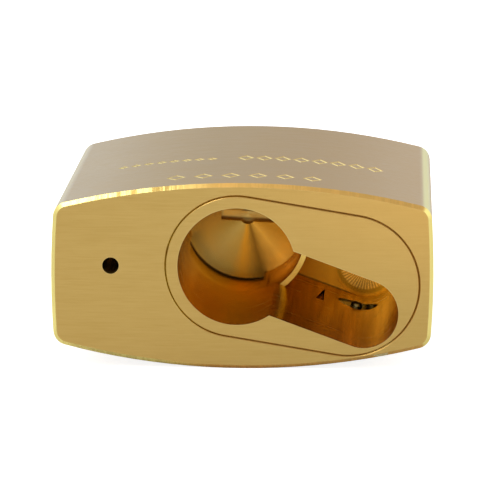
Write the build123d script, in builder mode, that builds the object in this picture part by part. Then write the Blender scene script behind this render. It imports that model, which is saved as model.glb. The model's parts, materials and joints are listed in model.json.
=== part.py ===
# Rectangular brass padlock body with bowed faces, bored for a Euro-profile half cylinder.
# It lies on its back: X is its width, +Y runs from the bottom face to the shackle, +Z out of the front.
# Depths are measured from the bottom face, heights from the middle of the thickness.

from math import cos, sin, radians, sqrt
import os

from build123d import *

os.makedirs("parts", exist_ok=True)

# ---- driving dimensions, mm ----
body_width = 55.0
body_thickness = 27.0
body_height = 60.7
side_bulge = 0.4
front_sagitta = 3.4
back_sagitta = 3.6
corner_radius = 2.2
edge_chamfer = 0.55

shackle_diameter = 9.5
shackle_clearance = 26.0
leg_x = 18.9
leg_gap = 0.08
heel_tip_depth = 28.0
toe_tip_depth = 44.7
heel_bore_depth = 15.0
toe_bore_depth = 44.2
lift = 17.5

profile_radius = 8.5
lobe_half_width = 5.0
lobe_reach = 19.5
lobe_angle = -20.15
axis_x = -0.8
axis_z = 1.41

insert_length = 27.4
insert_radius = 10.21
insert_angle = -9.24
insert_span = 16.27
seam_gap = 0.07
seam_chamfer = 0.15

chamber_radius = 9.98
chamber_depth = 57.6
cup_radius = 9.89
cup_wall = 0.75
cup_top = 27.5
cup_floor = 46.0
cup_bottom = 48.4
hub_radius = 4.9
hub_end = 50.4
slot_length = 8.2
slot_width = 1.6
slot_depth = 2.2
slot_angle = -3.0
socket_depth = 49.0
window_top = 39.0
window_start = -160.0
window_end = -73.0
rim_groove_depth = 0.5
centre_hole_radius = 1.25
cup_turn = 90.0
spindle_square = 5.6
spindle_fit = 0.03
spindle_neck_radius = 1.9
spindle_tail_radius = 1.5
spindle_tail_start = 56.7
spindle_tail_length = 0.75

lobe_floor = 42.0
plunge_floor = 42.7
screw_depth = 33.2
screw_along = 19.9
screw_radius = 2.95
screw_fit = 0.03
screw_recess = 0.2
screw_tip_radius = 0.9
screw_tip_length = 0.9
screw_web = 0.7
screw_socket_radius = 1.4
wedge_along = 13.4
wedge_width = 1.3
wedge_run = 10.4
wedge_depth = 0.6

ball_radius = 4.0
ball_depth = 53.0
ball_locked_x = 12.75
ball_travel = 2.6
cross_bore_radius = 4.2
groove_gap = 0.3

cam_gap = 0.3
cam_start = 50.7
cam_end = 55.3
shim_start = hub_end + 0.01
shim_thickness = 0.27
shim_radius = 4.8
shim_bore_radius = 4.02
clip_start = cam_end + 0.1
clip_thickness = 0.7
clip_radius = 3.9
clip_mouth = 2.4
washer_start = 56.95
washer_thickness = 0.6
washer_radius = 5.8

stop_pin_radius = 1.5
stop_pin_depth = 49.7
stop_groove_floor = 2.4
stop_pin_foot = 1.6
stop_plug_recess = 0.2
stop_plug_length = 1.35
press_fit = 0.02
drain_radius = 1.2
side_plug_start = 24.1
side_plug_recess = 0.12

seat_flange = 1.5
seat_stem = 3.2
seat_stem_radius = 2.6
spring_wire_radius = 0.55
spring_radius = 3.7
spring_pitch = 1.5
return_wire_radius = 0.33
return_spring_radius = 5.4
return_spring_pitch = 0.74
return_spring_height = 1.25

insert_pin_radius = 1.25
insert_pin_x = 6.5
insert_pin_tip = -8.4
insert_pin_depths = (8.0, 20.0)

ornament_depth = 0.24
ornament_line = 0.56

# ---- where the frame's origin sits ----
edge_x = body_width / 2 - side_bulge
front_edge_z = body_thickness / 2 - front_sagitta
back_edge_z = -body_thickness / 2 + back_sagitta
side_mid_z = (front_edge_z + back_edge_z) / 2
front_bow_radius = (edge_x**2 + front_sagitta**2) / (2 * front_sagitta)
back_bow_radius = (edge_x**2 + back_sagitta**2) / (2 * back_sagitta)
leg_radius = shackle_diameter / 2
leg_bore_radius = leg_radius + leg_gap
crown_radius = leg_x
straight_above = shackle_clearance - (crown_radius - leg_radius)
overall_length = body_height + straight_above + crown_radius + leg_radius
bottom_y = -overall_length / 2
mid_z = body_thickness / 2
leg_z = mid_z + axis_z


def at_depth(depth, x=0.0, z=0.0):
    return Plane(origin=(x, bottom_y + depth, mid_z + z), x_dir=(1, 0, 0), z_dir=(0, -1, 0))


def up_from(x, depth, height):
    return Plane(origin=(x, bottom_y + depth, height), x_dir=(1, 0, 0), z_dir=(0, 0, 1))


def back_z(x):
    return mid_z - body_thickness / 2 + back_bow_radius - sqrt(back_bow_radius**2 - x**2)


lobe_dir = Vector(cos(radians(lobe_angle)), 0, sin(radians(lobe_angle)))
lobe_down = Vector(sin(radians(lobe_angle)), 0, -cos(radians(lobe_angle)))
insert_centre_x = axis_x + insert_span / 2 * cos(radians(insert_angle))
insert_centre_z = axis_z + insert_span / 2 * sin(radians(insert_angle))


def lobe_slot(depth, length, reach):
    # the parallel-sided tongue of the Euro profile, from the round bore out to its half-round end
    with BuildSketch(at_depth(depth, axis_x, axis_z)) as tongue:
        with Locations(Location((0, 0, 0), (0, 0, lobe_angle))):
            with Locations((reach / 2, 0)):
                Rectangle(reach, 2 * lobe_half_width)
            with Locations((reach, 0)):
                Circle(lobe_half_width)
    extrude(tongue.sketch, amount=-length, mode=Mode.SUBTRACT)


def round_hole(depth, length, radius, x, z, mode=Mode.SUBTRACT):
    with BuildSketch(at_depth(depth, x, z)) as disc:
        Circle(radius)
    extrude(disc.sketch, amount=-length, mode=mode)


def ball_race(side):
    # the slanting race a locking ball follows along a leg while the shackle lifts
    race = ball_radius + groove_gap
    start = Vector(side * ball_locked_x, bottom_y + ball_depth, leg_z)
    end = start + Vector(-side * ball_travel, -lift, 0)
    run = (end - start).length
    race_plane = Plane(origin=start, x_dir=end - start, z_dir=(0, 0, 1))
    with BuildSketch(race_plane) as profile:
        with BuildLine():
            ThreePointArc((-race, 0), (-race * cos(radians(45)), race * sin(radians(45))), (0, race))
            Line((0, race), (run, race))
            ThreePointArc((run, race), (run + race * cos(radians(45)), race * sin(radians(45))), (run + race, 0))
            Line((run + race, 0), (-race, 0))
        make_face()
    revolve(profile.sketch, axis=Axis(start, end - start), mode=Mode.SUBTRACT)


def front_plane(x, y):
    # touches the bowed front at x, at distance y from the bottom face
    height = mid_z + body_thickness / 2 - front_bow_radius + sqrt(front_bow_radius**2 - x**2)
    normal = Vector(x, 0, sqrt(front_bow_radius**2 - x**2)).normalized()
    origin = Vector(x, bottom_y + y, height) + normal * 0.02
    return Plane(origin=origin, x_dir=Vector(normal.Z, 0, -normal.X), z_dir=normal)


def lozenge(half_width, half_height):
    Polygon((-half_width, 0), (0, -half_height), (half_width, 0), (0, half_height), align=None)


def lozenge_row(first_x, last_x, count, y, half_width, half_height):
    # each lozenge is a line engraved with a slanting cutter, so that its groove is a V
    line = ornament_line
    for number in range(count):
        plane = front_plane(first_x + (last_x - first_x) * number / (count - 1), y)
        with BuildSketch(plane) as outside:
            lozenge(half_width, half_height)
        with BuildSketch(plane) as island:
            lozenge(half_width - line, (half_width - line) * half_height / half_width)
        extrude(outside.sketch, amount=-ornament_depth, taper=42)
        extrude(island.sketch, amount=-ornament_depth, taper=-42, mode=Mode.SUBTRACT)


# ---- ornament: the cutter's shape for three rows of engraved lozenges on the bowed front ----
with BuildPart() as ornament:
    lozenge_row(-18.6, -5.4, 8, 25.0, 0.85, 1.15)
    lozenge_row(-0.4, 18.8, 8, 25.6, 1.3, 2.5)
    lozenge_row(-9.9, 9.9, 6, 8.0, 1.45, 2.3)

# ---- body: solid brass, four bowed faces, everything bored into it ----
with BuildPart() as body:
    with BuildSketch(at_depth(0)):
        with BuildLine():
            ThreePointArc((-edge_x, front_edge_z), (0, body_thickness / 2), (edge_x, front_edge_z))
            ThreePointArc((edge_x, front_edge_z), (body_width / 2, side_mid_z), (edge_x, back_edge_z))
            ThreePointArc((edge_x, back_edge_z), (0, -body_thickness / 2), (-edge_x, back_edge_z))
            ThreePointArc((-edge_x, back_edge_z), (-body_width / 2, side_mid_z), (-edge_x, front_edge_z))
        outline = make_face()
        fillet(outline.vertices(), corner_radius)
    extrude(amount=-body_height)
    chamfer(body.faces().sort_by(Axis.Y)[0].edges(), edge_chamfer)
    chamfer(body.faces().sort_by(Axis.Y)[-1].edges(), edge_chamfer)
    blank = body.part

    # recess for the profile insert
    with BuildSketch(at_depth(0, insert_centre_x, insert_centre_z)):
        SlotCenterToCenter(insert_span, 2 * (insert_radius + seam_gap), rotation=insert_angle)
    extrude(amount=-insert_length, mode=Mode.SUBTRACT)
    with BuildSketch(at_depth(0, insert_centre_x, insert_centre_z)) as seam_mouth:
        SlotCenterToCenter(insert_span, 2 * (insert_radius + seam_gap + seam_chamfer), rotation=insert_angle)
    extrude(seam_mouth.sketch, amount=-seam_chamfer, taper=45, mode=Mode.SUBTRACT)

    # round chamber for the drive cup and the cam, and the tongue pocket beside it
    round_hole(insert_length, chamber_depth - insert_length, chamber_radius, axis_x, axis_z)
    lobe_slot(insert_length, lobe_floor - insert_length, lobe_reach)
    lobe_end = lobe_dir * lobe_reach
    round_hole(lobe_floor, plunge_floor - lobe_floor, lobe_half_width, axis_x + lobe_end.X, axis_z + lobe_end.Z)

    # shackle bores, with the drain below the heel
    round_hole(heel_bore_depth, body_height - heel_bore_depth, leg_bore_radius, -leg_x, axis_z)
    round_hole(toe_bore_depth, body_height - toe_bore_depth, leg_bore_radius, leg_x, axis_z)
    round_hole(0, heel_bore_depth, drain_radius, -leg_x, axis_z)

    # cross bore for the two locking balls, drilled in from the toe side
    with BuildSketch(Plane(origin=(-leg_x, bottom_y + ball_depth, leg_z), x_dir=(0, 1, 0), z_dir=(1, 0, 0))):
        Circle(cross_bore_radius)
    extrude(amount=leg_x + body_width, mode=Mode.SUBTRACT)

    # hole for the heel stop pin, drilled in from the back
    with BuildSketch(up_from(-leg_x, stop_pin_depth, -1)):
        Circle(stop_pin_radius + press_fit)
    extrude(amount=leg_z + 1, mode=Mode.SUBTRACT)

    # holes for the two pins that hold the insert
    for pin_depth in insert_pin_depths:
        with BuildSketch(up_from(insert_pin_x, pin_depth, -1)):
            Circle(insert_pin_radius + press_fit)
        extrude(amount=mid_z + insert_pin_tip + 1, mode=Mode.SUBTRACT)

    # engraved ornament on the front
    add(ornament.part, mode=Mode.SUBTRACT)

    # a narrow wedge left by the cutter in the flat side of the tongue pocket
    wedge_start = Vector(axis_x, bottom_y + insert_length, mid_z + axis_z) + lobe_dir * wedge_along
    with BuildSketch(
        Plane(origin=wedge_start + lobe_down * (lobe_half_width - 1), x_dir=lobe_dir, z_dir=lobe_down)
    ):
        Polygon((0, 0), (wedge_width, 0), (wedge_width, -wedge_run), align=None)
    extrude(amount=1 + wedge_depth, mode=Mode.SUBTRACT)

    # threaded hole for the cylinder fixing screw, square to the tongue pocket's flat side and
    # right through to the back
    screw_start = Vector(axis_x, bottom_y + screw_depth, mid_z + axis_z) + lobe_dir * screw_along
    with BuildSketch(Plane(origin=screw_start, x_dir=(0, 1, 0), z_dir=lobe_down)):
        Circle(screw_radius + screw_fit)
    extrude(amount=body_thickness, mode=Mode.SUBTRACT)
body.part.label = "body"
export_step(body.part, "parts/body.step")

# ---- profile insert: the Euro-profile mouth, pressed flush into the bottom face ----
with BuildPart() as profile_insert:
    with BuildSketch(at_depth(0, insert_centre_x, insert_centre_z)):
        SlotCenterToCenter(insert_span, 2 * insert_radius, rotation=insert_angle)
    extrude(amount=-insert_length)
    chamfer(profile_insert.faces().sort_by(Axis.Y)[0].edges(), seam_chamfer)
    round_hole(0, insert_length, profile_radius, axis_x, axis_z)
    lobe_slot(0, insert_length, lobe_reach)
    for pin_depth in insert_pin_depths:
        with BuildSketch(up_from(insert_pin_x, pin_depth, 0)):
            Circle(insert_pin_radius + press_fit)
        extrude(amount=mid_z + insert_pin_tip, mode=Mode.SUBTRACT)
profile_insert.part.label = "profile_insert"
export_step(profile_insert.part, "parts/profile_insert.step")


def insert_pin(pin_depth):
    bottom = back_z(insert_pin_x) + 0.15
    with BuildPart() as pin:
        with BuildSketch(up_from(insert_pin_x, pin_depth, bottom)):
            Circle(insert_pin_radius)
        extrude(amount=mid_z + insert_pin_tip - 0.1 - bottom)
        chamfer(pin.edges().filter_by(GeomType.CIRCLE), 0.2)
    return pin


insert_pin_lower = insert_pin(insert_pin_depths[0])
insert_pin_lower.part.label = "insert_pin_lower"
export_step(insert_pin_lower.part, "parts/insert_pin_lower.step")

insert_pin_upper = insert_pin(insert_pin_depths[1])
insert_pin_upper.part.label = "insert_pin_upper"
export_step(insert_pin_upper.part, "parts/insert_pin_upper.step")

# ---- cylinder fixing screw: a set screw with a rounded tip, its outer end flush with the back ----
screw_face = screw_start + lobe_down * (lobe_half_width + screw_recess)
with BuildPart() as cylinder_screw:
    with BuildSketch(Plane(origin=screw_face, x_dir=(0, 1, 0), z_dir=lobe_down)):
        Circle(screw_radius)
    extrude(amount=lobe_half_width)
    with BuildSketch(Plane(origin=screw_face, x_dir=(0, 1, 0), z_dir=lobe_down * -1)):
        Circle(screw_tip_radius)
    extrude(amount=screw_tip_length)
    fillet(cylinder_screw.faces().sort_by(Axis.Z)[-1].edges(), 0.6)
    with BuildSketch(Plane(origin=screw_face + lobe_down * screw_web, x_dir=(0, 1, 0), z_dir=lobe_down)):
        RegularPolygon(screw_socket_radius, 6)
    extrude(amount=lobe_half_width, mode=Mode.SUBTRACT)
    add(blank.moved(Location((0, 0, screw_fit))), mode=Mode.INTERSECT)
cylinder_screw.part.label = "cylinder_screw"
export_step(cylinder_screw.part, "parts/cylinder_screw.step")

# ---- drive cup: thin-walled, open toward the cylinder, slotted in its floor for the cylinder's tail ----
window_sector = [(0, 0)]
for side_angle in (window_start, window_end):
    # far enough out for the chord to clear the cup
    away = 2 * cup_radius
    window_sector.append((away * cos(radians(side_angle)), away * sin(radians(side_angle))))

with BuildPart() as drive_cup:
    round_hole(cup_top, cup_bottom - cup_top, cup_radius, axis_x, axis_z, Mode.ADD)
    round_hole(cup_bottom, hub_end - cup_bottom, hub_radius, axis_x, axis_z, Mode.ADD)
    round_hole(cup_top, cup_floor - cup_top, cup_radius - cup_wall, axis_x, axis_z)
    # a window low in the wall, and a groove round the floor's rim below it
    with BuildSketch(at_depth(window_top, axis_x, axis_z)):
        Polygon(*window_sector, align=None)
    extrude(amount=-(cup_floor - window_top), mode=Mode.SUBTRACT)
    with BuildSketch(at_depth(cup_floor, axis_x, axis_z)):
        Polygon(*window_sector, align=None)
        Circle(cup_radius - cup_wall / 3, mode=Mode.SUBTRACT)
    extrude(amount=-rim_groove_depth, mode=Mode.SUBTRACT)
    with BuildSketch(at_depth(cup_floor, axis_x, axis_z)):
        Rectangle(slot_length, slot_width, rotation=slot_angle)
    extrude(amount=-slot_depth, mode=Mode.SUBTRACT)
    round_hole(cup_floor, slot_depth + 0.3, centre_hole_radius, axis_x, axis_z)
    with BuildSketch(at_depth(socket_depth, axis_x, axis_z)):
        Rectangle(spindle_square + 2 * spindle_fit, spindle_square + 2 * spindle_fit)
    extrude(amount=-(hub_end - socket_depth), mode=Mode.SUBTRACT)
drive_cup.part.label = "drive_cup"
export_step(drive_cup.part, "parts/drive_cup.step")

# ---- drive spindle: a square bar pressed into the cup's hub, which carries the cam ----
with BuildPart() as drive_spindle:
    with BuildSketch(at_depth(socket_depth + spindle_fit, axis_x, axis_z)):
        Rectangle(spindle_square, spindle_square)
    extrude(amount=-(cam_end - socket_depth - spindle_fit))
    round_hole(cam_end, spindle_tail_start - cam_end, spindle_neck_radius, axis_x, axis_z, Mode.ADD)
    round_hole(spindle_tail_start, spindle_tail_length, spindle_tail_radius, axis_x, axis_z, Mode.ADD)
drive_spindle.part.label = "drive_spindle"
export_step(drive_spindle.part, "parts/drive_spindle.step")

# ---- cam shim, between the hub and the cam ----
with BuildPart() as cam_shim:
    round_hole(shim_start, shim_thickness, shim_radius, axis_x, axis_z, Mode.ADD)
    round_hole(shim_start, shim_thickness, shim_bore_radius, axis_x, axis_z)
cam_shim.part.label = "cam_shim"
export_step(cam_shim.part, "parts/cam_shim.step")

# ---- return spring: two turns round the hub ----
with BuildPart() as return_spring:
    with BuildLine() as coil:
        Helix(
            pitch=return_spring_pitch,
            height=return_spring_height,
            radius=return_spring_radius,
            center=(axis_x, bottom_y + cup_bottom + 0.36, leg_z),
            direction=(0, 1, 0),
        )
    with BuildSketch(Plane(origin=coil.line @ 0, z_dir=coil.line % 0)):
        Circle(return_wire_radius)
    sweep()
return_spring.part.label = "return_spring"
export_step(return_spring.part, "parts/return_spring.step")

# ---- locking cam: each ball's flank falls away evenly as the cam turns ----
toe_high = ball_locked_x - ball_radius - axis_x - cam_gap
heel_high = ball_locked_x - ball_radius + axis_x - cam_gap


def cam_radius(angle):
    # angle in degrees from the toe ball's direction, from minus one turn of the cup up
    step_start = 30
    step_end = 46
    heel_start = 180 - cup_turn
    if angle <= 0:
        return toe_high + ball_travel * angle / cup_turn
    if angle <= step_start:
        return toe_high
    if angle <= step_end:
        share = (angle - step_start) / (step_end - step_start)
        return toe_high + (heel_high - ball_travel - toe_high) * share
    if angle <= heel_start:
        return heel_high - ball_travel
    if angle <= 180:
        return heel_high - ball_travel * (180 - angle) / cup_turn
    return heel_high + (toe_high - ball_travel - heel_high) * (angle - 180) / heel_start


with BuildPart() as locking_cam:
    with BuildSketch(at_depth(cam_start, axis_x, axis_z)):
        with BuildLine():
            rim = []
            for step in range(180):
                turn = -cup_turn + 2 * step
                radius = cam_radius(turn)
                rim.append((radius * cos(radians(turn)), radius * sin(radians(turn))))
            Polyline(*rim, close=True)
        make_face()
        Rectangle(spindle_square + 2 * spindle_fit, spindle_square + 2 * spindle_fit, mode=Mode.SUBTRACT)
    extrude(amount=-(cam_end - cam_start))
locking_cam.part.label = "locking_cam"
export_step(locking_cam.part, "parts/locking_cam.step")

# ---- retaining clip that keeps the cam on its spindle ----
with BuildPart() as retaining_clip:
    round_hole(clip_start, clip_thickness, clip_radius, axis_x, axis_z, Mode.ADD)
    round_hole(clip_start, clip_thickness, spindle_neck_radius + 0.04, axis_x, axis_z)
    with BuildSketch(at_depth(clip_start, axis_x, axis_z)):
        with Locations((0, clip_radius / 2 + 1)):
            Rectangle(clip_mouth, clip_radius + 0.6)
    extrude(amount=-clip_thickness, mode=Mode.SUBTRACT)
retaining_clip.part.label = "retaining_clip"
export_step(retaining_clip.part, "parts/retaining_clip.step")

# ---- thrust washer at the bottom of the chamber ----
with BuildPart() as thrust_washer:
    round_hole(washer_start, washer_thickness, washer_radius, axis_x, axis_z, Mode.ADD)
    round_hole(washer_start, washer_thickness, spindle_tail_radius + 0.08, axis_x, axis_z)
thrust_washer.part.label = "thrust_washer"
export_step(thrust_washer.part, "parts/thrust_washer.step")


# ---- locking balls ----
with BuildPart() as ball_heel:
    with Locations((-ball_locked_x, bottom_y + ball_depth, leg_z)):
        Sphere(ball_radius)
ball_heel.part.label = "ball_heel"
export_step(ball_heel.part, "parts/ball_heel.step")

with BuildPart() as ball_toe:
    with Locations((ball_locked_x, bottom_y + ball_depth, leg_z)):
        Sphere(ball_radius)
ball_toe.part.label = "ball_toe"
export_step(ball_toe.part, "parts/ball_toe.step")

# ---- shackle: a bent round bar with a long heel leg ----
spring_line_y = bottom_y + body_height + straight_above
with BuildPart() as shackle:
    with BuildLine() as bow:
        Line((-leg_x, bottom_y + heel_tip_depth, leg_z), (-leg_x, spring_line_y, leg_z))
        ThreePointArc(
            (-leg_x, spring_line_y, leg_z),
            (0, spring_line_y + crown_radius, leg_z),
            (leg_x, spring_line_y, leg_z),
        )
        Line((leg_x, spring_line_y, leg_z), (leg_x, bottom_y + toe_tip_depth, leg_z))
    with BuildSketch(Plane(origin=bow.line @ 0, z_dir=bow.line % 0)):
        Circle(leg_radius)
    sweep()
    leg_ends = shackle.faces().filter_by(GeomType.PLANE).sort_by(Axis.Y)
    chamfer(leg_ends[0].edges(), 0.7)
    chamfer(leg_ends[-1].edges(), 1.0)
    ball_race(-1)
    ball_race(1)

    # stop groove along the back of the heel leg, ending in a turned neck
    groove_half = stop_pin_radius + groove_gap
    neck_depth = stop_pin_depth - lift
    with BuildSketch(Plane(origin=(-leg_x, 0, leg_z - stop_groove_floor), x_dir=(1, 0, 0), z_dir=(0, 0, -1))):
        with Locations((0, -(bottom_y + (stop_pin_depth + neck_depth) / 2))):
            SlotCenterToCenter(lift, 2 * groove_half, rotation=90)
    extrude(amount=leg_radius, mode=Mode.SUBTRACT)
    with BuildSketch(at_depth(neck_depth - groove_half, -leg_x, axis_z)):
        Circle(leg_radius + 1)
        Circle(stop_groove_floor, mode=Mode.SUBTRACT)
    extrude(amount=-2 * groove_half, mode=Mode.SUBTRACT)
shackle.part.label = "shackle"
export_step(shackle.part, "parts/shackle.step")

# ---- heel stop pin, pressed in from the back, and the plug over it ----
with BuildPart() as heel_stop_pin:
    pin_foot = back_z(leg_x) + stop_pin_foot
    with BuildSketch(up_from(-leg_x, stop_pin_depth, pin_foot)):
        Circle(stop_pin_radius)
    extrude(amount=leg_z - stop_groove_floor - 0.3 - pin_foot)
    chamfer(heel_stop_pin.edges().filter_by(GeomType.CIRCLE), 0.25)
heel_stop_pin.part.label = "heel_stop_pin"
export_step(heel_stop_pin.part, "parts/heel_stop_pin.step")

with BuildPart() as stop_pin_plug:
    with BuildSketch(up_from(-leg_x, stop_pin_depth, back_z(leg_x) + stop_plug_recess)):
        Circle(stop_pin_radius)
    extrude(amount=stop_plug_length)
stop_pin_plug.part.label = "stop_pin_plug"
export_step(stop_pin_plug.part, "parts/stop_pin_plug.step")

# ---- side plug closing the cross bore ----
with BuildPart() as side_plug:
    plug_plane = Plane(origin=(side_plug_start, bottom_y + ball_depth, leg_z), x_dir=(0, 1, 0), z_dir=(1, 0, 0))
    with BuildSketch(plug_plane):
        Circle(cross_bore_radius - 0.03)
    extrude(amount=body_width / 2 - side_plug_recess - side_plug_start)
side_plug.part.label = "side_plug"
export_step(side_plug.part, "parts/side_plug.step")

# ---- spring seat and shackle spring below the heel leg ----
seat_start = heel_tip_depth - seat_flange - 0.1
with BuildPart() as spring_seat:
    round_hole(seat_start, seat_flange, leg_bore_radius - 0.3, -leg_x, axis_z, Mode.ADD)
    round_hole(seat_start - seat_stem, seat_stem, seat_stem_radius, -leg_x, axis_z, Mode.ADD)
spring_seat.part.label = "spring_seat"
export_step(spring_seat.part, "parts/spring_seat.step")

with BuildPart() as shackle_spring:
    with BuildLine() as coil:
        Helix(
            pitch=spring_pitch,
            height=seat_start - heel_bore_depth - 2 * spring_wire_radius - 0.15,
            radius=spring_radius,
            center=(-leg_x, bottom_y + heel_bore_depth + spring_wire_radius + 0.08, leg_z),
            direction=(0, 1, 0),
        )
    with BuildSketch(Plane(origin=coil.line @ 0, z_dir=coil.line % 0)):
        Circle(spring_wire_radius)
    sweep()
shackle_spring.part.label = "shackle_spring"
export_step(shackle_spring.part, "parts/shackle_spring.step")
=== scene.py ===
import json
import math

import bpy
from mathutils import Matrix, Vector


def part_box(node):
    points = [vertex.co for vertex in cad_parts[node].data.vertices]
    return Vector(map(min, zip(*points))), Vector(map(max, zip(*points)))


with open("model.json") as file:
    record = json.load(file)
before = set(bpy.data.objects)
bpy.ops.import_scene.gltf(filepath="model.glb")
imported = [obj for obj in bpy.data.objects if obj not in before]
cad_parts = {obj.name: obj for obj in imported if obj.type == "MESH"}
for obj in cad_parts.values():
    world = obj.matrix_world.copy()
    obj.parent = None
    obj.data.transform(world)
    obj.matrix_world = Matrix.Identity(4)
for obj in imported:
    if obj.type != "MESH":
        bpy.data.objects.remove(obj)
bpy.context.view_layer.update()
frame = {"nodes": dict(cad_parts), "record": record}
nodes = frame["nodes"]
mm = 0.001

bodyLow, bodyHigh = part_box("body")
insertLow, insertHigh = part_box("profile_insert")
cupLow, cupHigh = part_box("drive_cup")
insertMiddle = (insertLow + insertHigh) / 2
cupAxis = (cupLow + cupHigh) / 2
bottomY = bodyLow.y
bodyMiddle = (bodyLow.z + bodyHigh.z) / 2
sideways = (1, 0, 0)
upright = (0, 1, 0)

# the cavity's standard profile, the depths in it from the bottom face, the radius of the bowed front,
# and the insert's outline
profile = {
    "round": 8.5 * mm,
    "roundMargin": 1.8 * mm,
    "tongueHalf": 5.0 * mm,
    "tongueAngle": math.radians(-20.15),
    "plungeCentre": 19.5 * mm,
    "mouth": 0.12 * mm,
    "tongueFloor": 42.0 * mm,
    "cupRim": 30.0 * mm,
    "cupFloor": 46.0 * mm,
    "slotAngle": math.radians(-3.0),
    "slotFloor": 48.2 * mm,
    "chamberEnd": 58.5 * mm,
    "bowRadius": 109.7 * mm,
    "insertAngle": math.radians(-9.24),
    "insertHalfSpan": 8.135 * mm,
    "insertRadius": 10.24 * mm,
}

print("frame loaded:", len(nodes), "nodes")


# helpers for the node trees
def newGroup(name, inputs, outputs):
    group = bpy.data.node_groups.new(name, "ShaderNodeTree")
    for label, kind, value in inputs:
        socket = group.interface.new_socket(name=label, in_out="INPUT", socket_type=kind)
        if value is not None:
            socket.default_value = value
    for label in outputs:
        group.interface.new_socket(name=label, in_out="OUTPUT", socket_type="NodeSocketFloat")
    start = group.nodes.new("NodeGroupInput")
    end = group.nodes.new("NodeGroupOutput")
    return group, start.outputs, end.inputs


def fill(tree, node, values):
    for key, value in values.items():
        if isinstance(value, bpy.types.NodeSocket):
            tree.links.new(value, node.inputs[key])
        else:
            node.inputs[key].default_value = value


def addNode(tree, kind, settings=None, values=None):
    node = tree.nodes.new(kind)
    for key, value in (settings or {}).items():
        setattr(node, key, value)
    fill(tree, node, values or {})
    return node


def maths(tree, operation, first, second=None, third=None, clamp=False):
    values = {0: first}
    if second is not None:
        values[1] = second
    if third is not None:
        values[2] = third
    settings = {"operation": operation, "use_clamp": clamp}
    return addNode(tree, "ShaderNodeMath", settings, values).outputs[0]


def times(tree, first, second):
    return maths(tree, "MULTIPLY", first, second)


def unsigned(tree, value):
    return maths(tree, "ABSOLUTE", value)


def farFrom(tree, value, centre):
    return unsigned(tree, maths(tree, "SUBTRACT", value, centre))


def vectorMaths(tree, operation, first, second=None):
    values = {0: first}
    if second is not None:
        values[1] = second
    node = addNode(tree, "ShaderNodeVectorMath", {"operation": operation}, values)
    if operation in ("DOT_PRODUCT", "LENGTH"):
        return node.outputs["Value"]
    return node.outputs["Vector"]


def dot(tree, first, second):
    return vectorMaths(tree, "DOT_PRODUCT", first, second)


def splitXYZ(tree, vector):
    return addNode(tree, "ShaderNodeSeparateXYZ", None, {0: vector}).outputs


def surfaceNormal(tree):
    return addNode(tree, "ShaderNodeNewGeometry").outputs["Normal"]


def remap(tree, value, low, high, outLow=0.0, outHigh=1.0):
    values = {
        "Value": value,
        "From Min": low,
        "From Max": high,
        "To Min": outLow,
        "To Max": outHigh,
    }
    return addNode(tree, "ShaderNodeMapRange", {"clamp": True}, values).outputs["Result"]


def mixColour(tree, factor, first, second):
    values = {0: factor, 6: first, 7: second}
    return addNode(tree, "ShaderNodeMix", {"data_type": "RGBA"}, values).outputs[2]


def mixValue(tree, factor, first, second):
    values = {0: factor, 2: first, 3: second}
    return addNode(tree, "ShaderNodeMix", {"data_type": "FLOAT"}, values).outputs[0]


def noise(tree, vector, scale, detail, roughness):
    values = {"Vector": vector, "Scale": scale, "Detail": detail, "Roughness": roughness}
    return addNode(tree, "ShaderNodeTexNoise", None, values).outputs[0]


def bump(tree, height, strength, distance):
    values = {"Height": height, "Strength": strength, "Distance": distance}
    return addNode(tree, "ShaderNodeBump", None, values).outputs[0]


# fine straight lines: Stretch holds how many times finer they are along each axis, per metre
brushing = {
    "stretch": (60, 3000, 3000),
    "broader": (0.31, 0.27, 0.27),
    "fineShare": 0.78,
    "broadShare": 0.22,
}


def makeBrushing():
    wanted = [
        ("Vector", "NodeSocketVector", None),
        ("Stretch", "NodeSocketVector", brushing["stretch"]),
    ]
    group, given, out = newGroup("brushing", wanted, ["Lines", "Height"])
    scaled = vectorMaths(group, "MULTIPLY", given["Vector"], given["Stretch"])
    fine = noise(group, scaled, 1.0, 4.0, 0.7)
    broad = noise(group, vectorMaths(group, "MULTIPLY", scaled, brushing["broader"]), 1.0, 2.0, 0.5)
    fineLines = times(group, fine, brushing["fineShare"])
    both = maths(group, "MULTIPLY_ADD", broad, brushing["broadShare"], fineLines)
    group.links.new(remap(group, both, 0.3, 0.7), out["Lines"])
    group.links.new(fine, out["Height"])
    return group


# slow patches of tarnish and handling, and small specks many times finer
mottle = {
    "patches": 60.0,
    "finer": 26.0,
}


def makeMottle():
    wanted = [
        ("Vector", "NodeSocketVector", None),
        ("Patches", "NodeSocketFloat", mottle["patches"]),
    ]
    group, given, out = newGroup("mottle", wanted, ["Patch", "Speck"])
    slow = noise(group, given["Vector"], given["Patches"], 3.0, 0.6)
    quick = noise(group, given["Vector"], times(group, given["Patches"], mottle["finer"]), 4.0, 0.7)
    group.links.new(remap(group, slow, 0.36, 0.64), out["Patch"])
    group.links.new(remap(group, quick, 0.62, 0.74), out["Speck"])
    return group


# brightens the outer edges, where handling rubs them, and breaks the line up with noise
edgeWear = {
    "radius": 0.3 * mm,
    "samples": 6,
    "breaks": 900.0,
    "least": 0.35,
}


def makeEdgeWear():
    wanted = [
        ("Vector", "NodeSocketVector", None),
        ("Radius", "NodeSocketFloat", edgeWear["radius"]),
    ]
    group, given, out = newGroup("edgeWear", wanted, ["Edge"])
    samples = {"samples": edgeWear["samples"]}
    rounded = addNode(group, "ShaderNodeBevel", samples, {"Radius": given["Radius"]}).outputs[0]
    turn = remap(group, dot(group, rounded, surfaceNormal(group)), 0.995, 0.86)
    grain = noise(group, given["Vector"], edgeWear["breaks"], 3.0, 0.6)
    broken = remap(group, grain, 0.3, 0.6, edgeWear["least"], 1.0)
    group.links.new(maths(group, "MULTIPLY", turn, broken, clamp=True), out["Edge"])
    return group


# lathe rings about the cup's axis
turning = {
    "pitch": 0.12 * mm,
    "wobble": 240.0,
}


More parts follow.
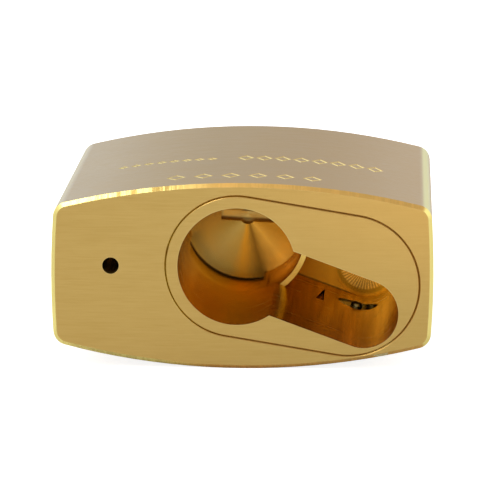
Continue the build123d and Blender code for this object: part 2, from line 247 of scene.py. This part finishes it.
def makeTurning():
    wanted = [
        ("Vector", "NodeSocketVector", None),
        ("Pitch", "NodeSocketFloat", turning["pitch"]),
    ]
    group, given, out = newGroup("turning", wanted, ["Rings"])
    away = vectorMaths(group, "SUBTRACT", given["Vector"], tuple(cupAxis))
    radius = vectorMaths(group, "LENGTH", vectorMaths(group, "MULTIPLY", away, (1, 0, 1)))
    wobble = noise(group, given["Vector"], turning["wobble"], 2.0, 0.5)
    turns = maths(group, "ADD", maths(group, "DIVIDE", radius, given["Pitch"]), wobble)
    wave = maths(group, "SINE", times(group, turns, 2 * math.pi))
    group.links.new(remap(group, wave, -1.0, 1.0), out["Rings"])
    return group


# where a point lies: out from the round part's axis, along and across the tongue, and its depth;
# Angle is zero straight down and turns toward +X, and Inside is 1 on the walls of the cavity
def makeCavityPlace():
    group, given, out = newGroup(
        "cavityPlace",
        [("Vector", "NodeSocketVector", None)],
        ["Radius", "Along", "Across", "Depth", "Angle", "Inside", "Tongue"],
    )
    tilt = profile["tongueAngle"]
    away = vectorMaths(group, "SUBTRACT", given["Vector"], tuple(cupAxis))
    along = dot(group, away, (math.cos(tilt), 0, math.sin(tilt)))
    across = dot(group, away, (-math.sin(tilt), 0, math.cos(tilt)))
    radius = vectorMaths(group, "LENGTH", vectorMaths(group, "MULTIPLY", away, (1, 0, 1)))
    parts = splitXYZ(group, away)
    depth = maths(group, "SUBTRACT", splitXYZ(group, given["Vector"])[1], bottomY)
    inRound = maths(group, "LESS_THAN", radius, profile["round"] + profile["roundMargin"])
    tongueSide = profile["tongueHalf"] + 0.2 * mm
    nearAcross = maths(group, "LESS_THAN", unsigned(group, across), tongueSide)
    tongueEnd = profile["plungeCentre"] + profile["tongueHalf"] + 0.3 * mm
    nearAlong = maths(group, "LESS_THAN", along, tongueEnd)
    ahead = times(group, nearAlong, maths(group, "GREATER_THAN", along, 0.0))
    inTongue = times(group, nearAcross, ahead)
    pastMouth = maths(group, "GREATER_THAN", depth, profile["mouth"])
    inDepth = times(group, pastMouth, maths(group, "LESS_THAN", depth, profile["chamberEnd"]))
    pastRound = maths(group, "GREATER_THAN", radius, profile["round"] + 0.1 * mm)
    found = {
        "Radius": radius,
        "Along": along,
        "Across": across,
        "Depth": depth,
        "Angle": maths(group, "ARCTAN2", parts[0], times(group, parts[2], -1.0)),
        "Inside": times(group, maths(group, "MAXIMUM", inRound, inTongue), inDepth),
        "Tongue": times(group, inTongue, pastRound),
    }
    for label, value in found.items():
        group.links.new(value, out[label])
    return group


# 1 along the seam round the profile insert, whose outline is a slot
def makeInsertSeam():
    group, given, out = newGroup("insertSeam", [("Vector", "NodeSocketVector", None)], ["Seam"])
    tilt = profile["insertAngle"]
    away = vectorMaths(group, "SUBTRACT", given["Vector"], tuple(insertMiddle))
    along = dot(group, away, (math.cos(tilt), 0, math.sin(tilt)))
    across = dot(group, away, (-math.sin(tilt), 0, math.cos(tilt)))
    pastSpan = maths(group, "SUBTRACT", unsigned(group, along), profile["insertHalfSpan"])
    beyond = maths(group, "MAXIMUM", pastSpan, 0.0)
    square = maths(group, "MULTIPLY_ADD", beyond, beyond, times(group, across, across))
    distance = farFrom(group, maths(group, "SQRT", square), profile["insertRadius"])
    group.links.new(remap(group, distance, 0.34 * mm, 0.24 * mm), out["Seam"])
    return group


# the end mill's plunge at the tongue's end: Plunge is 1 within it, and Ribs are its radial strokes,
# which the colour turns into painted highlight stripes
plunge = {
    "strokes": 52.0,
    "twist": 900.0,
    "reach": (4.75 * mm, 4.5 * mm),
    "ribsOuter": (4.1 * mm, 3.8 * mm),
    "ribsInner": (0.6 * mm, 2.2 * mm),
}


def makePlungeMarks():
    wanted = [
        ("Along", "NodeSocketFloat", 0.0),
        ("Across", "NodeSocketFloat", 0.0),
        ("Strokes", "NodeSocketFloat", plunge["strokes"]),
    ]
    group, given, out = newGroup("plungeMarks", wanted, ["Plunge", "Ribs"])
    along = maths(group, "SUBTRACT", given["Along"], profile["plungeCentre"])
    across = given["Across"]
    square = maths(group, "MULTIPLY_ADD", along, along, times(group, across, across))
    radius = maths(group, "SQRT", square)
    spokes = times(group, maths(group, "ARCTAN2", across, along), given["Strokes"])
    phase = maths(group, "MULTIPLY_ADD", radius, plunge["twist"], spokes)
    wave = remap(group, maths(group, "SINE", phase), -1.4, 1.0)
    outer = remap(group, radius, *plunge["ribsOuter"])
    band = times(group, outer, remap(group, radius, *plunge["ribsInner"]))
    group.links.new(remap(group, radius, *plunge["reach"]), out["Plunge"])
    group.links.new(times(group, wave, band), out["Ribs"])
    return group


effects = {
    "brushing": makeBrushing(),
    "mottle": makeMottle(),
    "edgeWear": makeEdgeWear(),
    "turning": makeTurning(),
    "cavityPlace": makeCavityPlace(),
    "plungeMarks": makePlungeMarks(),
    "insertSeam": makeInsertSeam(),
}
print("effects built:", len(effects))


def useEffect(tree, name, values):
    node = addNode(tree, "ShaderNodeGroup", {"node_tree": effects[name]})
    fill(tree, node, values)
    return node.outputs


def newMaterial(name):
    material = bpy.data.materials.new(name)
    material.use_nodes = True
    tree = material.node_tree
    shader = next(node for node in tree.nodes if node.type == "BSDF_PRINCIPLED")
    place = addNode(tree, "ShaderNodeTexCoord").outputs["Object"]
    return material, tree, shader, place


# the body, the insert and the two plugs
satinBrass = {
    "pale": (0.60, 0.41, 0.135, 1),
    "deep": (0.49, 0.315, 0.085, 1),
    "edge": (0.78, 0.62, 0.26, 1),
    "warmShade": (0.82, 0.48, 0.13, 1),
    "filedAndHighlight": (1.0, 0.87, 0.3, 1),
    "grime": (0.3, 0.19, 0.055, 1),
    "grooveGlint": (0.9, 0.8, 0.36, 1),
    "cutShade": (0.7, 0.55, 0.22, 1),
    "bore": (0.62, 0.41, 0.055, 1),
    "boreDeep": (0.52, 0.32, 0.035, 1),
    "chamber": (0.5, 0.37, 0.1, 1),
    "wallShaded": (0.58, 0.36, 0.07, 1),
    "wallLit": (1.0, 0.88, 0.48, 1),
    "floorShaded": (0.36, 0.12, 0.004, 1),
    "floorLit": (0.58, 0.27, 0.018, 1),
    "crescent": (0.4, 0.2, 0.012, 1),
    "plunge": (1.0, 0.56, 0.11, 1),
    "markAndCornerShade": (0.13, 0.07, 0.01, 1),
    "grazing": (0.85, 0.55, 0.15, 1),
    "grazingEnd": (1.0, 0.76, 0.34, 1),
    # the stretch of each kind of line
    "brushedAcross": (210, 4600, 4600),
    "brushedAlong": (4600, 210, 4600),
    "milledLines": (1150, 12, 1150),
    "boredLines": (40, 2600, 40),
    "filedLines": (2000, 90, 90),
    # how strongly each effect shows
    "patches": 55.0,
    "patchMix": 0.22,
    "wearRadius": 0.2 * mm,
    "wearMix": 0.5,
    "warmShadeMix": 0.6,
    "grimeMix": 0.5,
    "grooveGlintMix": 0.85,
    "scoreMix": 0.72,
    "junctionShadeMix": 0.75,
    "cornerHighlightLeft": 0.15,
    "cornerHighlightRight": 0.85,
    # spans along X: the painted orange shading, the chamfer's strokes and its turn from painted
    # highlight to orange shading, the painted highlights on the rounded corners
    "warmShadeSpan": (-5 * mm, 26 * mm),
    "strokesStart": (-22 * mm, -19 * mm),
    "strokesEnd": (-8 * mm, -11 * mm),
    "chamferHighlightSpan": (-13 * mm, -4 * mm),
    "cornerHighlightSpan": (25.6 * mm, 26.2 * mm),
    # the engraved rows: how deep under the bow they start and stop, and where they lie on the front
    "cutStart": (0.02 * mm, 0.06 * mm),
    "cutStop": (0.4 * mm, 0.3 * mm),
    "cutHalfWidth": 21 * mm,
    "cutBottom": (3.5 * mm, 4.5 * mm),
    # where the chamber behind the cup starts
    "chamberRadius": (9.5 * mm, 9.7 * mm),
    "chamberDepth": (37 * mm, 38 * mm),
    # spans along the tongue
    "wallSpan": (11 * mm, 22.5 * mm),
    "floorSpan": (9 * mm, 15 * mm),
    "endSpan": (15 * mm, 21 * mm),
    # the surfaces within the body lie at least this far under its skin
    "skin": 0.5 * mm,
    "sideSkin": 1.5 * mm,
    "roughOutside": 0.34,
    "roughCavity": 0.24,
    "bumpOutside": 0.22,
    "bumpCavity": 0.12,
    "bumpHeight": 0.01 * mm,
    "anisotropy": 0.45,
}


def makeSatinBrass():
    look = satinBrass
    material, tree, shader, place = newMaterial("satinBrass")
    normal = surfaceNormal(tree)
    sideOn = unsigned(tree, dot(tree, normal, sideways))
    onSide = remap(tree, sideOn, 0.75, 0.85)
    facing = unsigned(tree, dot(tree, normal, upright))
    x, y, z = splitXYZ(tree, place)

    acrossLines = useEffect(tree, "brushing", {"Vector": place, "Stretch": look["brushedAcross"]})
    alongLines = useEffect(tree, "brushing", {"Vector": place, "Stretch": look["brushedAlong"]})
    brushed = mixValue(tree, onSide, acrossLines["Lines"], alongLines["Lines"])
    brushedHeight = mixValue(tree, onSide, acrossLines["Height"], alongLines["Height"])
    milled = useEffect(tree, "brushing", {"Vector": place, "Stretch": look["milledLines"]})
    bored = useEffect(tree, "brushing", {"Vector": place, "Stretch": look["boredLines"]})
    filedAndHighlight = useEffect(tree, "brushing", {"Vector": place, "Stretch": look["filedLines"]})
    patches = useEffect(tree, "mottle", {"Vector": place, "Patches": look["patches"]})
    edges = useEffect(tree, "edgeWear", {"Vector": place, "Radius": look["wearRadius"]})
    seam = useEffect(tree, "insertSeam", {"Vector": place})
    spot = useEffect(tree, "cavityPlace", {"Vector": place})
    marks = useEffect(tree, "plungeMarks", {"Along": spot["Along"], "Across": spot["Across"]})

    tone = mixColour(tree, remap(tree, brushed, 0.0, 1.0, 0.25, 0.75), look["deep"], look["pale"])
    tone = mixColour(tree, times(tree, patches["Patch"], look["patchMix"]), tone, look["deep"])
    # the upper right of the body is tinted orange: painted shading where less light falls
    upper = remap(tree, z, bodyMiddle - 5 * mm, bodyHigh.z)
    upperRight = times(tree, remap(tree, x, *look["warmShadeSpan"]), upper)
    tone = mixColour(tree, times(tree, upperRight, look["warmShadeMix"]), tone, look["warmShade"])

    # the chamfer has filing strokes, coarse toward the middle; its colour is a painted highlight at
    # the left turning to orange painted shading at the right
    slanted = times(tree, remap(tree, facing, 0.3, 0.5), remap(tree, facing, 0.97, 0.85))
    coarse = times(tree, remap(tree, x, *look["strokesStart"]), remap(tree, x, *look["strokesEnd"]))
    coarse = times(tree, coarse, maths(tree, "GREATER_THAN", z, bodyMiddle))
    gaps = remap(tree, filedAndHighlight["Lines"], 0.62, 0.42)
    gaps = times(tree, gaps, remap(tree, coarse, 0.0, 1.0, 0.25, 0.95))
    chamferHighlightTone = mixColour(tree, remap(tree, x, *look["chamferHighlightSpan"]), look["filedAndHighlight"], look["warmShade"])
    strokes = mixColour(tree, gaps, chamferHighlightTone, look["deep"])
    # the seam round the insert is darkened
    strokes = mixColour(tree, times(tree, seam["Seam"], look["grimeMix"]), strokes, look["grime"])
    tone = mixColour(tree, slanted, tone, strokes)
    tone = mixColour(tree, times(tree, edges["Edge"], look["wearMix"]), tone, look["edge"])

    # the engraved lozenges are real grooves, painted with a glint where the cutter went under the
    # bowed front: paler on walls turned toward -X and -Y, darker on the rest
    bow = profile["bowRadius"]
    rise = maths(tree, "SQRT", maths(tree, "SUBTRACT", bow * bow, times(tree, x, x)))
    under = maths(tree, "SUBTRACT", maths(tree, "ADD", rise, bodyHigh.z - bow), z)
    grooved = remap(tree, under, *look["cutStart"])
    grooved = times(tree, grooved, remap(tree, under, *look["cutStop"]))
    nearMiddle = maths(tree, "LESS_THAN", unsigned(tree, x), look["cutHalfWidth"])
    rows = times(tree, nearMiddle, remap(tree, spot["Depth"], *look["cutBottom"]))
    grooved = times(tree, grooved, rows)
    lit = remap(tree, dot(tree, normal, (-0.4, -1, 0)), -0.1, 0.65)
    engraved = mixColour(tree, lit, look["cutShade"], look["grooveGlint"])
    tone = mixColour(tree, times(tree, grooved, look["grooveGlintMix"]), tone, engraved)

    # a painted highlight runs along the rounded corners of the body, the right one most
    cornerHighlight = times(tree, remap(tree, sideOn, 0.3, 0.45), remap(tree, sideOn, 0.97, 0.85))
    cornerHighlight = times(tree, cornerHighlight, remap(tree, unsigned(tree, x), *look["cornerHighlightSpan"]))
    favoured = remap(tree, x, 0.0, 20 * mm, look["cornerHighlightLeft"], look["cornerHighlightRight"])
    cornerHighlight = times(tree, cornerHighlight, favoured)
    tone = mixColour(tree, cornerHighlight, tone, look["filedAndHighlight"])

    # the tongue's walls are painted shaded beside the round part and lit at its rounded end
    run = remap(tree, spot["Along"], *look["wallSpan"])
    wall = mixColour(tree, run, look["wallShaded"], look["wallLit"])
    scored = remap(tree, milled["Lines"], 0.25, 0.75, 0.0, look["scoreMix"])
    scored = times(tree, scored, remap(tree, run, 0.3, 1.0, 1.0, 0.5))
    wall = mixColour(tree, scored, wall, look["markAndCornerShade"])
    # the floor is painted shaded near the round part and lit toward its end, and the plunge's strokes
    # are painted highlights on a darker ground
    ribs = mixColour(tree, marks["Ribs"], look["crescent"], look["plunge"])
    floorRun = remap(tree, spot["Along"], *look["floorSpan"])
    floor = mixColour(tree, floorRun, look["floorShaded"], look["floorLit"])
    floor = mixColour(tree, marks["Plunge"], floor, ribs)
    floorLevel = profile["tongueFloor"]
    nearFloor = remap(tree, spot["Depth"], floorLevel - 1.0 * mm, floorLevel - 0.2 * mm)
    atFloor = times(tree, remap(tree, facing, 0.8, 0.9), nearFloor)
    tongue = mixColour(tree, atFloor, wall, floor)
    # a painted shade line where the walls meet the floor
    besideWall = remap(tree, unsigned(tree, spot["Across"]), 4.75 * mm, 4.95 * mm)
    besideFloor = remap(tree, farFrom(tree, spot["Depth"], floorLevel), 0.7 * mm, 0.2 * mm)
    junctionShade = times(tree, besideFloor, besideWall)
    tongue = mixColour(tree, times(tree, junctionShade, look["junctionShadeMix"]), tongue, look["markAndCornerShade"])

    bore = mixColour(tree, bored["Lines"], look["boreDeep"], look["bore"])
    # the chamber behind the cup is browner than the bore
    outsideCup = remap(tree, spot["Radius"], *look["chamberRadius"])
    behindCup = times(tree, outsideCup, remap(tree, spot["Depth"], *look["chamberDepth"]))
    bore = mixColour(tree, behindCup, bore, look["chamber"])
    cavity = mixColour(tree, spot["Tongue"], bore, tongue)
    tree.links.new(mixColour(tree, spot["Inside"], tone, cavity), shader.inputs["Base Color"])

    # within the body and the insert the metal keeps its colour at grazing angles
    halfThick = maths(tree, "ADD", rise, bodyHigh.z - bodyMiddle - bow - look["skin"])
    withinZ = maths(tree, "LESS_THAN", farFrom(tree, z, bodyMiddle), halfThick)
    withinX = maths(tree, "LESS_THAN", unsigned(tree, x), bodyHigh.x - look["sideSkin"])
    aboveBottom = maths(tree, "GREATER_THAN", y, bottomY + profile["mouth"])
    belowTop = maths(tree, "LESS_THAN", y, bottomY + profile["chamberEnd"])
    within = times(tree, times(tree, withinX, withinZ), times(tree, aboveBottom, belowTop))
    # toward the tongue's end the tint turns paler: a painted highlight in the reflections there
    endLow, endHigh = look["endSpan"]
    atEnd = remap(tree, x, cupAxis.x + endLow, cupAxis.x + endHigh)
    tint = mixColour(tree, atEnd, look["grazing"], look["grazingEnd"])
    tree.links.new(mixColour(tree, within, (1, 1, 1, 1), tint), shader.inputs["Specular Tint"])

    outside, cavityRough = look["roughOutside"], look["roughCavity"]
    outer = remap(tree, brushed, 0.0, 1.0, outside + 0.05, outside - 0.04)
    inner = remap(tree, bored["Lines"], 0.0, 1.0, cavityRough + 0.05, cavityRough - 0.05)
    tree.links.new(mixValue(tree, spot["Inside"], outer, inner), shader.inputs["Roughness"])

    heights = mixValue(tree, spot["Tongue"], bored["Height"], milled["Height"])
    height = mixValue(tree, spot["Inside"], brushedHeight, heights)
    cavityBump = mixValue(tree, atFloor, look["bumpCavity"], 0.0)
    strength = mixValue(tree, spot["Inside"], look["bumpOutside"], cavityBump)
    tree.links.new(bump(tree, height, strength, look["bumpHeight"]), shader.inputs["Normal"])
    # the brushed lines run along X, and along Y on the two sides, and the gloss spreads across them
    lines = mixColour(tree, onSide, (*sideways, 1), (*upright, 1))
    spread = vectorMaths(tree, "CROSS_PRODUCT", normal, lines)
    tree.links.new(vectorMaths(tree, "NORMALIZE", spread), shader.inputs["Tangent"])
    shader.inputs["Anisotropic"].default_value = look["anisotropy"]
    shader.inputs["Metallic"].default_value = 1.0
    return material


# the drive cup and the spring seat
turnedBrass = {
    "pale": (0.54, 0.34, 0.05, 1),
    "deep": (0.44, 0.26, 0.03, 1),
    "rim": (1.0, 0.7, 0.18, 1),
    "slotFloor": (0.72, 0.5, 0.15, 1),
    "grazing": (0.88, 0.57, 0.17, 1),
    "recess": (0.1, 0.045, 0.008, 1),
    "rough": 0.26,
    "anisotropy": 0.8,
    "pitch": 0.35 * mm,
    "ringMix": 0.06,
    "patches": 150.0,
    "patchMix": 0.4,
    "recessMix": 0.75,
    "slotShade": (-0.45 * mm, -0.7 * mm),
    # the window in the cup's wall: its near edge, its middle, half its span and its right end
    "windowDepth": 38.7 * mm,
    "windowMiddle": math.radians(-26.5),
    "windowHalfSpan": math.radians(44.5),
    "windowEnd": math.radians(17.5),
    "windowShadeMix": 0.7,
    "fanBlur": 0.12,
    # the turned floor's painted fan of reflections, from straight left round to straight right
    "fan": [
        (0.0, (0.42, 0.24, 0.05, 1)),
        (0.15, (0.52, 0.34, 0.07, 1)),
        (0.3, (0.64, 0.45, 0.12, 1)),
        (0.42, (0.66, 0.41, 0.08, 1)),
        (0.48, (0.86, 0.4, 0.03, 1)),
        (0.51, (0.78, 0.36, 0.03, 1)),
        (0.55, (0.52, 0.26, 0.03, 1)),
        (0.6, (0.3, 0.14, 0.015, 1)),
        (0.66, (0.66, 0.35, 0.05, 1)),
        (0.74, (0.96, 0.55, 0.09, 1)),
        (0.88, (0.7, 0.36, 0.04, 1)),
    ],
}


def makeTurnedBrass():
    look = turnedBrass
    material, tree, shader, place = newMaterial("turnedBrass")
    rings = useEffect(tree, "turning", {"Vector": place, "Pitch": look["pitch"]})
    patches = useEffect(tree, "mottle", {"Vector": place, "Patches": look["patches"]})
    spot = useEffect(tree, "cavityPlace", {"Vector": place})
    flat = remap(tree, dot(tree, surfaceNormal(tree), (0, -1, 0)), 0.8, 0.9)
    away = vectorMaths(tree, "SUBTRACT", place, tuple(cupAxis))

    # the floor's fan of reflections is painted into the colour, blurred a little by noise
    grain = noise(tree, place, 500.0, 3.0, 0.6)
    blurred = maths(tree, "MULTIPLY_ADD", grain, look["fanBlur"], spot["Angle"])
    sweep = remap(tree, blurred, -math.pi / 2, math.pi / 2)
    fan = addNode(tree, "ShaderNodeValToRGB", None, {0: sweep})
    ramp = fan.color_ramp.elements
    while len(ramp) < len(look["fan"]):
        ramp.new(0.5)
    for stop, (position, colour) in zip(ramp, look["fan"]):
        stop.position = position
        stop.color = colour

    tarnish = times(tree, patches["Patch"], look["patchMix"])
    tone = mixColour(tree, tarnish, look["pale"], look["deep"])
    atFloor = maths(tree, "LESS_THAN", farFrom(tree, spot["Depth"], profile["cupFloor"]), 0.05 * mm)
    tone = mixColour(tree, times(tree, atFloor, flat), tone, fan.outputs["Color"])
    # the cup's front face is painted bright: a painted highlight
    atRim = times(tree, flat, maths(tree, "LESS_THAN", spot["Depth"], profile["cupRim"]))
    tone = mixColour(tree, atRim, tone, look["rim"])

    # the slot's floor is painted pale tan for the light on it, and its walls, its lower side and the
    # hole behind it get painted shade
    below = maths(tree, "GREATER_THAN", spot["Depth"], profile["cupFloor"] + 0.05 * mm)
    tilt = profile["slotAngle"]
    across = dot(tree, away, (-math.sin(tilt), 0, math.cos(tilt)))
    steep = maths(tree, "SUBTRACT", 1.0, flat)
    shaded = remap(tree, across, *look["slotShade"])
    deeper = maths(tree, "GREATER_THAN", spot["Depth"], profile["slotFloor"] + 0.05 * mm)
    hole = times(tree, deeper, maths(tree, "GREATER_THAN", across, 0.36 * mm))
    dark = maths(tree, "MAXIMUM", maths(tree, "MAXIMUM", steep, shaded), hole)
    tone = mixColour(tree, below, tone, look["slotFloor"])
    dark = times(tree, below, times(tree, dark, look["recessMix"]))
    tone = mixColour(tree, dark, tone, look["recess"])

    # painted shadow lines along the window's near edge and down its right end
    onEdge = maths(tree, "LESS_THAN", farFrom(tree, spot["Depth"], look["windowDepth"]), 0.12 * mm)
    fromMiddle = farFrom(tree, spot["Angle"], look["windowMiddle"])
    nearEdge = times(tree, onEdge, maths(tree, "LESS_THAN", fromMiddle, look["windowHalfSpan"]))
    edge = look["windowDepth"]
    toEnd = farFrom(tree, spot["Angle"], look["windowEnd"])
    atEnd = remap(tree, toEnd, math.radians(2.2), math.radians(1.2))
    atEnd = times(tree, atEnd, remap(tree, spot["Depth"], edge - 0.5 * mm, edge - 0.1 * mm))
    atEnd = times(tree, atEnd, maths(tree, "GREATER_THAN", spot["Radius"], 9.0 * mm))
    window = times(tree, maths(tree, "MAXIMUM", nearEdge, atEnd), look["windowShadeMix"])
    tone = mixColour(tree, window, tone, look["recess"])
    tone = mixColour(tree, times(tree, rings["Rings"], look["ringMix"]), tone, look["deep"])
    tree.links.new(tone, shader.inputs["Base Color"])

    outward = vectorMaths(tree, "NORMALIZE", vectorMaths(tree, "MULTIPLY", away, (1, 0, 1)))
    tree.links.new(outward, shader.inputs["Tangent"])
    shader.inputs["Specular Tint"].default_value = look["grazing"]
    shader.inputs["Roughness"].default_value = look["rough"]
    shader.inputs["Anisotropic"].default_value = look["anisotropy"]
    shader.inputs["Metallic"].default_value = 1.0
    return material


# the wear that every steel shares
steelWear = {
    "lineMix": 0.4,
    "patches": 140.0,
    "patchMix": 0.3,
    "wearRadius": 0.15 * mm,
    "wearMix": 0.5,
    "speckRough": 0.1,
    "bump": 0.2,
    "bumpHeight": 0.01 * mm,
}

# the shackle and the steel pieces inside; stretch turns the polishing lines
steels = {
    "steel": {
        "name": "groundSteel",
        "tone": (0.58, 0.58, 0.6, 1),
        "dark": (0.36, 0.36, 0.38, 1),
        "edge": (0.9, 0.9, 0.9, 1),
        "rough": 0.32,
        "stretch": (900, 120, 900),
    },
    "zinc_steel": {
        "name": "zincSteel",
        "tone": (0.5, 0.4, 0.17, 1),
        "dark": (0.24, 0.19, 0.08, 1),
        "edge": (0.8, 0.66, 0.3, 1),
        "rough": 0.34,
        "stretch": (700, 700, 700),
    },
    "spring_steel": {
        "name": "springSteel",
        "tone": (0.42, 0.42, 0.44, 1),
        "dark": (0.22, 0.22, 0.24, 1),
        "edge": (0.9, 0.9, 0.9, 1),
        "rough": 0.28,
        "stretch": (900, 900, 900),
    },
    "hard_chrome": {
        "name": "hardChrome",
        "tone": (0.8, 0.8, 0.82, 1),
        "dark": (0.66, 0.66, 0.7, 1),
        "edge": (0.9, 0.9, 0.9, 1),
        "rough": 0.08,
        "stretch": (400, 400, 400),
    },
    "shackle_chrome": {
        "name": "shackleChrome",
        "tone": (0.78, 0.78, 0.8, 1),
        "dark": (0.6, 0.6, 0.63, 1),
        "edge": (0.9, 0.9, 0.9, 1),
        "rough": 0.14,
        "stretch": (1500, 90, 1500),
    },
}


def makeSteel(look):
    material, tree, shader, place = newMaterial(look["name"])
    lines = useEffect(tree, "brushing", {"Vector": place, "Stretch": look["stretch"]})
    patches = useEffect(tree, "mottle", {"Vector": place, "Patches": steelWear["patches"]})
    edges = useEffect(tree, "edgeWear", {"Vector": place, "Radius": steelWear["wearRadius"]})
    polished = times(tree, lines["Lines"], steelWear["lineMix"])
    tarnish = times(tree, patches["Patch"], steelWear["patchMix"])
    worn = times(tree, edges["Edge"], steelWear["wearMix"])
    tone = mixColour(tree, polished, look["tone"], look["dark"])
    tone = mixColour(tree, tarnish, tone, look["dark"])
    tone = mixColour(tree, worn, tone, look["edge"])
    tree.links.new(tone, shader.inputs["Base Color"])
    roughness = remap(tree, lines["Lines"], 0.0, 1.0, look["rough"] * 0.8, look["rough"] * 1.25)
    roughness = maths(tree, "MULTIPLY_ADD", patches["Speck"], steelWear["speckRough"], roughness)
    tree.links.new(roughness, shader.inputs["Roughness"])
    relief = bump(tree, lines["Height"], steelWear["bump"], steelWear["bumpHeight"])
    tree.links.new(relief, shader.inputs["Normal"])
    shader.inputs["Metallic"].default_value = 1.0
    return material


finishes = {"satin_brass": makeSatinBrass(), "turned_brass": makeTurnedBrass()}
for slot, look in steels.items():
    finishes[slot] = makeSteel(look)

slotOf = {entry["node"]: entry["material_slot"] for entry in frame["record"]["subparts"]}
for name, piece in nodes.items():
    piece.data.materials.clear()
    piece.data.materials.append(finishes[slotOf[name]])
print("finishes given to", len(nodes), "nodes")


# the paper floor, the sky's brightness and colour, and the lamps
studio = {
    "floorSize": 3.0,
    "paper": (0.7, 0.7, 0.7, 1),
    "paperPale": (0.73, 0.73, 0.73, 1),
    "paperRough": 0.9,
    "paperSeen": 0.85,
    "sky": (1.0, 1.0, 1.0, 1),
    "skyLow": 0.42,
    "skyHigh": 0.8,
    "skyLeft": 1.7,
    "skyMiddle": 0.85,
    "skyRight": 2.0,
    "behindLeft": (1.25, 1.75, 2.7, 1),
    "behindMiddle": (0.92, 1.07, 1.42, 1),
    "behindRight": (1.75, 2.15, 2.9, 1),
    "lamps": {
        "keyLight": {
            "place": (-0.42, -0.16, 0.85),
            "target": (0, -0.02, 0.01),
            "size": (0.35, 0.35),
            "power": 2.2,
        },
        "frontLight": {
            "place": (0.05, -0.8, 0.04),
            "target": (0, -0.03, 0.015),
            "size": (0.5, 0.12),
            "power": 0.35,
        },
    },
}


def makeFloor():
    bpy.ops.object.select_all(action="DESELECT")
    bpy.ops.mesh.primitive_plane_add(size=studio["floorSize"], location=(0, 0, 0))
    floor = bpy.context.active_object
    floor.name = "floor"
    material, tree, shader, place = newMaterial("paper")
    grain = noise(tree, place, 400.0, 3.0, 0.6)
    paper = mixColour(tree, grain, studio["paper"], studio["paperPale"])
    tree.links.new(paper, shader.inputs["Base Color"])
    shader.inputs["Roughness"].default_value = studio["paperRough"]
    shader.inputs["Emission Color"].default_value = (1, 1, 1, 1)
    # the paper looks white to the camera, and sends less light back to the brass
    seen = addNode(tree, "ShaderNodeLightPath").outputs["Is Camera Ray"]
    tree.links.new(times(tree, seen, studio["paperSeen"]), shader.inputs["Emission Strength"])
    floor.data.materials.append(material)


def makeSky():
    world = bpy.data.worlds.new("studioSky")
    bpy.context.scene.world = world
    world.use_nodes = True
    tree = world.node_tree
    sky = tree.nodes["Background"]
    x, y, z = splitXYZ(tree, addNode(tree, "ShaderNodeTexCoord").outputs["Generated"])
    height = remap(tree, z, -0.1, 0.9, studio["skyLow"], studio["skyHigh"])
    left = remap(tree, x, -0.45, 0.1, studio["skyLeft"], studio["skyMiddle"])
    right = remap(tree, x, 0.4, 0.9, studio["skyMiddle"], studio["skyRight"])
    tree.links.new(times(tree, height, maths(tree, "MAXIMUM", left, right)), sky.inputs["Strength"])
    # a cooler band low in the sky behind the padlock, which its front reflects
    behind = times(tree, remap(tree, y, 0.85, 0.95), remap(tree, z, 0.45, 0.3))
    pastLeft = remap(tree, x, -0.18, -0.08)
    pastMiddle = remap(tree, x, 0.02, 0.1)
    cool = mixColour(tree, pastLeft, studio["behindLeft"], studio["behindMiddle"])
    cool = mixColour(tree, pastMiddle, cool, studio["behindRight"])
    tree.links.new(mixColour(tree, behind, studio["sky"], cool), sky.inputs["Color"])


def addLamp(name, look):
    bpy.ops.object.light_add(type="AREA", location=look["place"])
    lamp = bpy.context.active_object
    lamp.name = name
    lamp.data.shape = "RECTANGLE"
    lamp.data.size, lamp.data.size_y = look["size"]
    lamp.data.energy = look["power"]
    aim = Vector(look["target"]) - Vector(look["place"])
    lamp.rotation_euler = aim.to_track_quat("-Z", "Y").to_euler()


makeFloor()
makeSky()
for name, look in studio["lamps"].items():
    addLamp(name, look)
bpy.context.scene.view_settings.view_transform = "Standard"

camera = {
    "place": (22.32 * mm, -648.7 * mm, 118.81 * mm),
    "turn": (80.42, -0.214, 2.055),
    "lens": 306.0,
    "sensor": 36.0,
    "nearest": 0.01,
}
turn = [math.radians(angle) for angle in camera["turn"]]
bpy.ops.object.camera_add(location=camera["place"], rotation=turn)
view = bpy.context.active_object
view.data.sensor_width = camera["sensor"]
view.data.lens = camera["lens"]
view.data.clip_start = camera["nearest"]
bpy.context.scene.camera = view
print("studio ready")
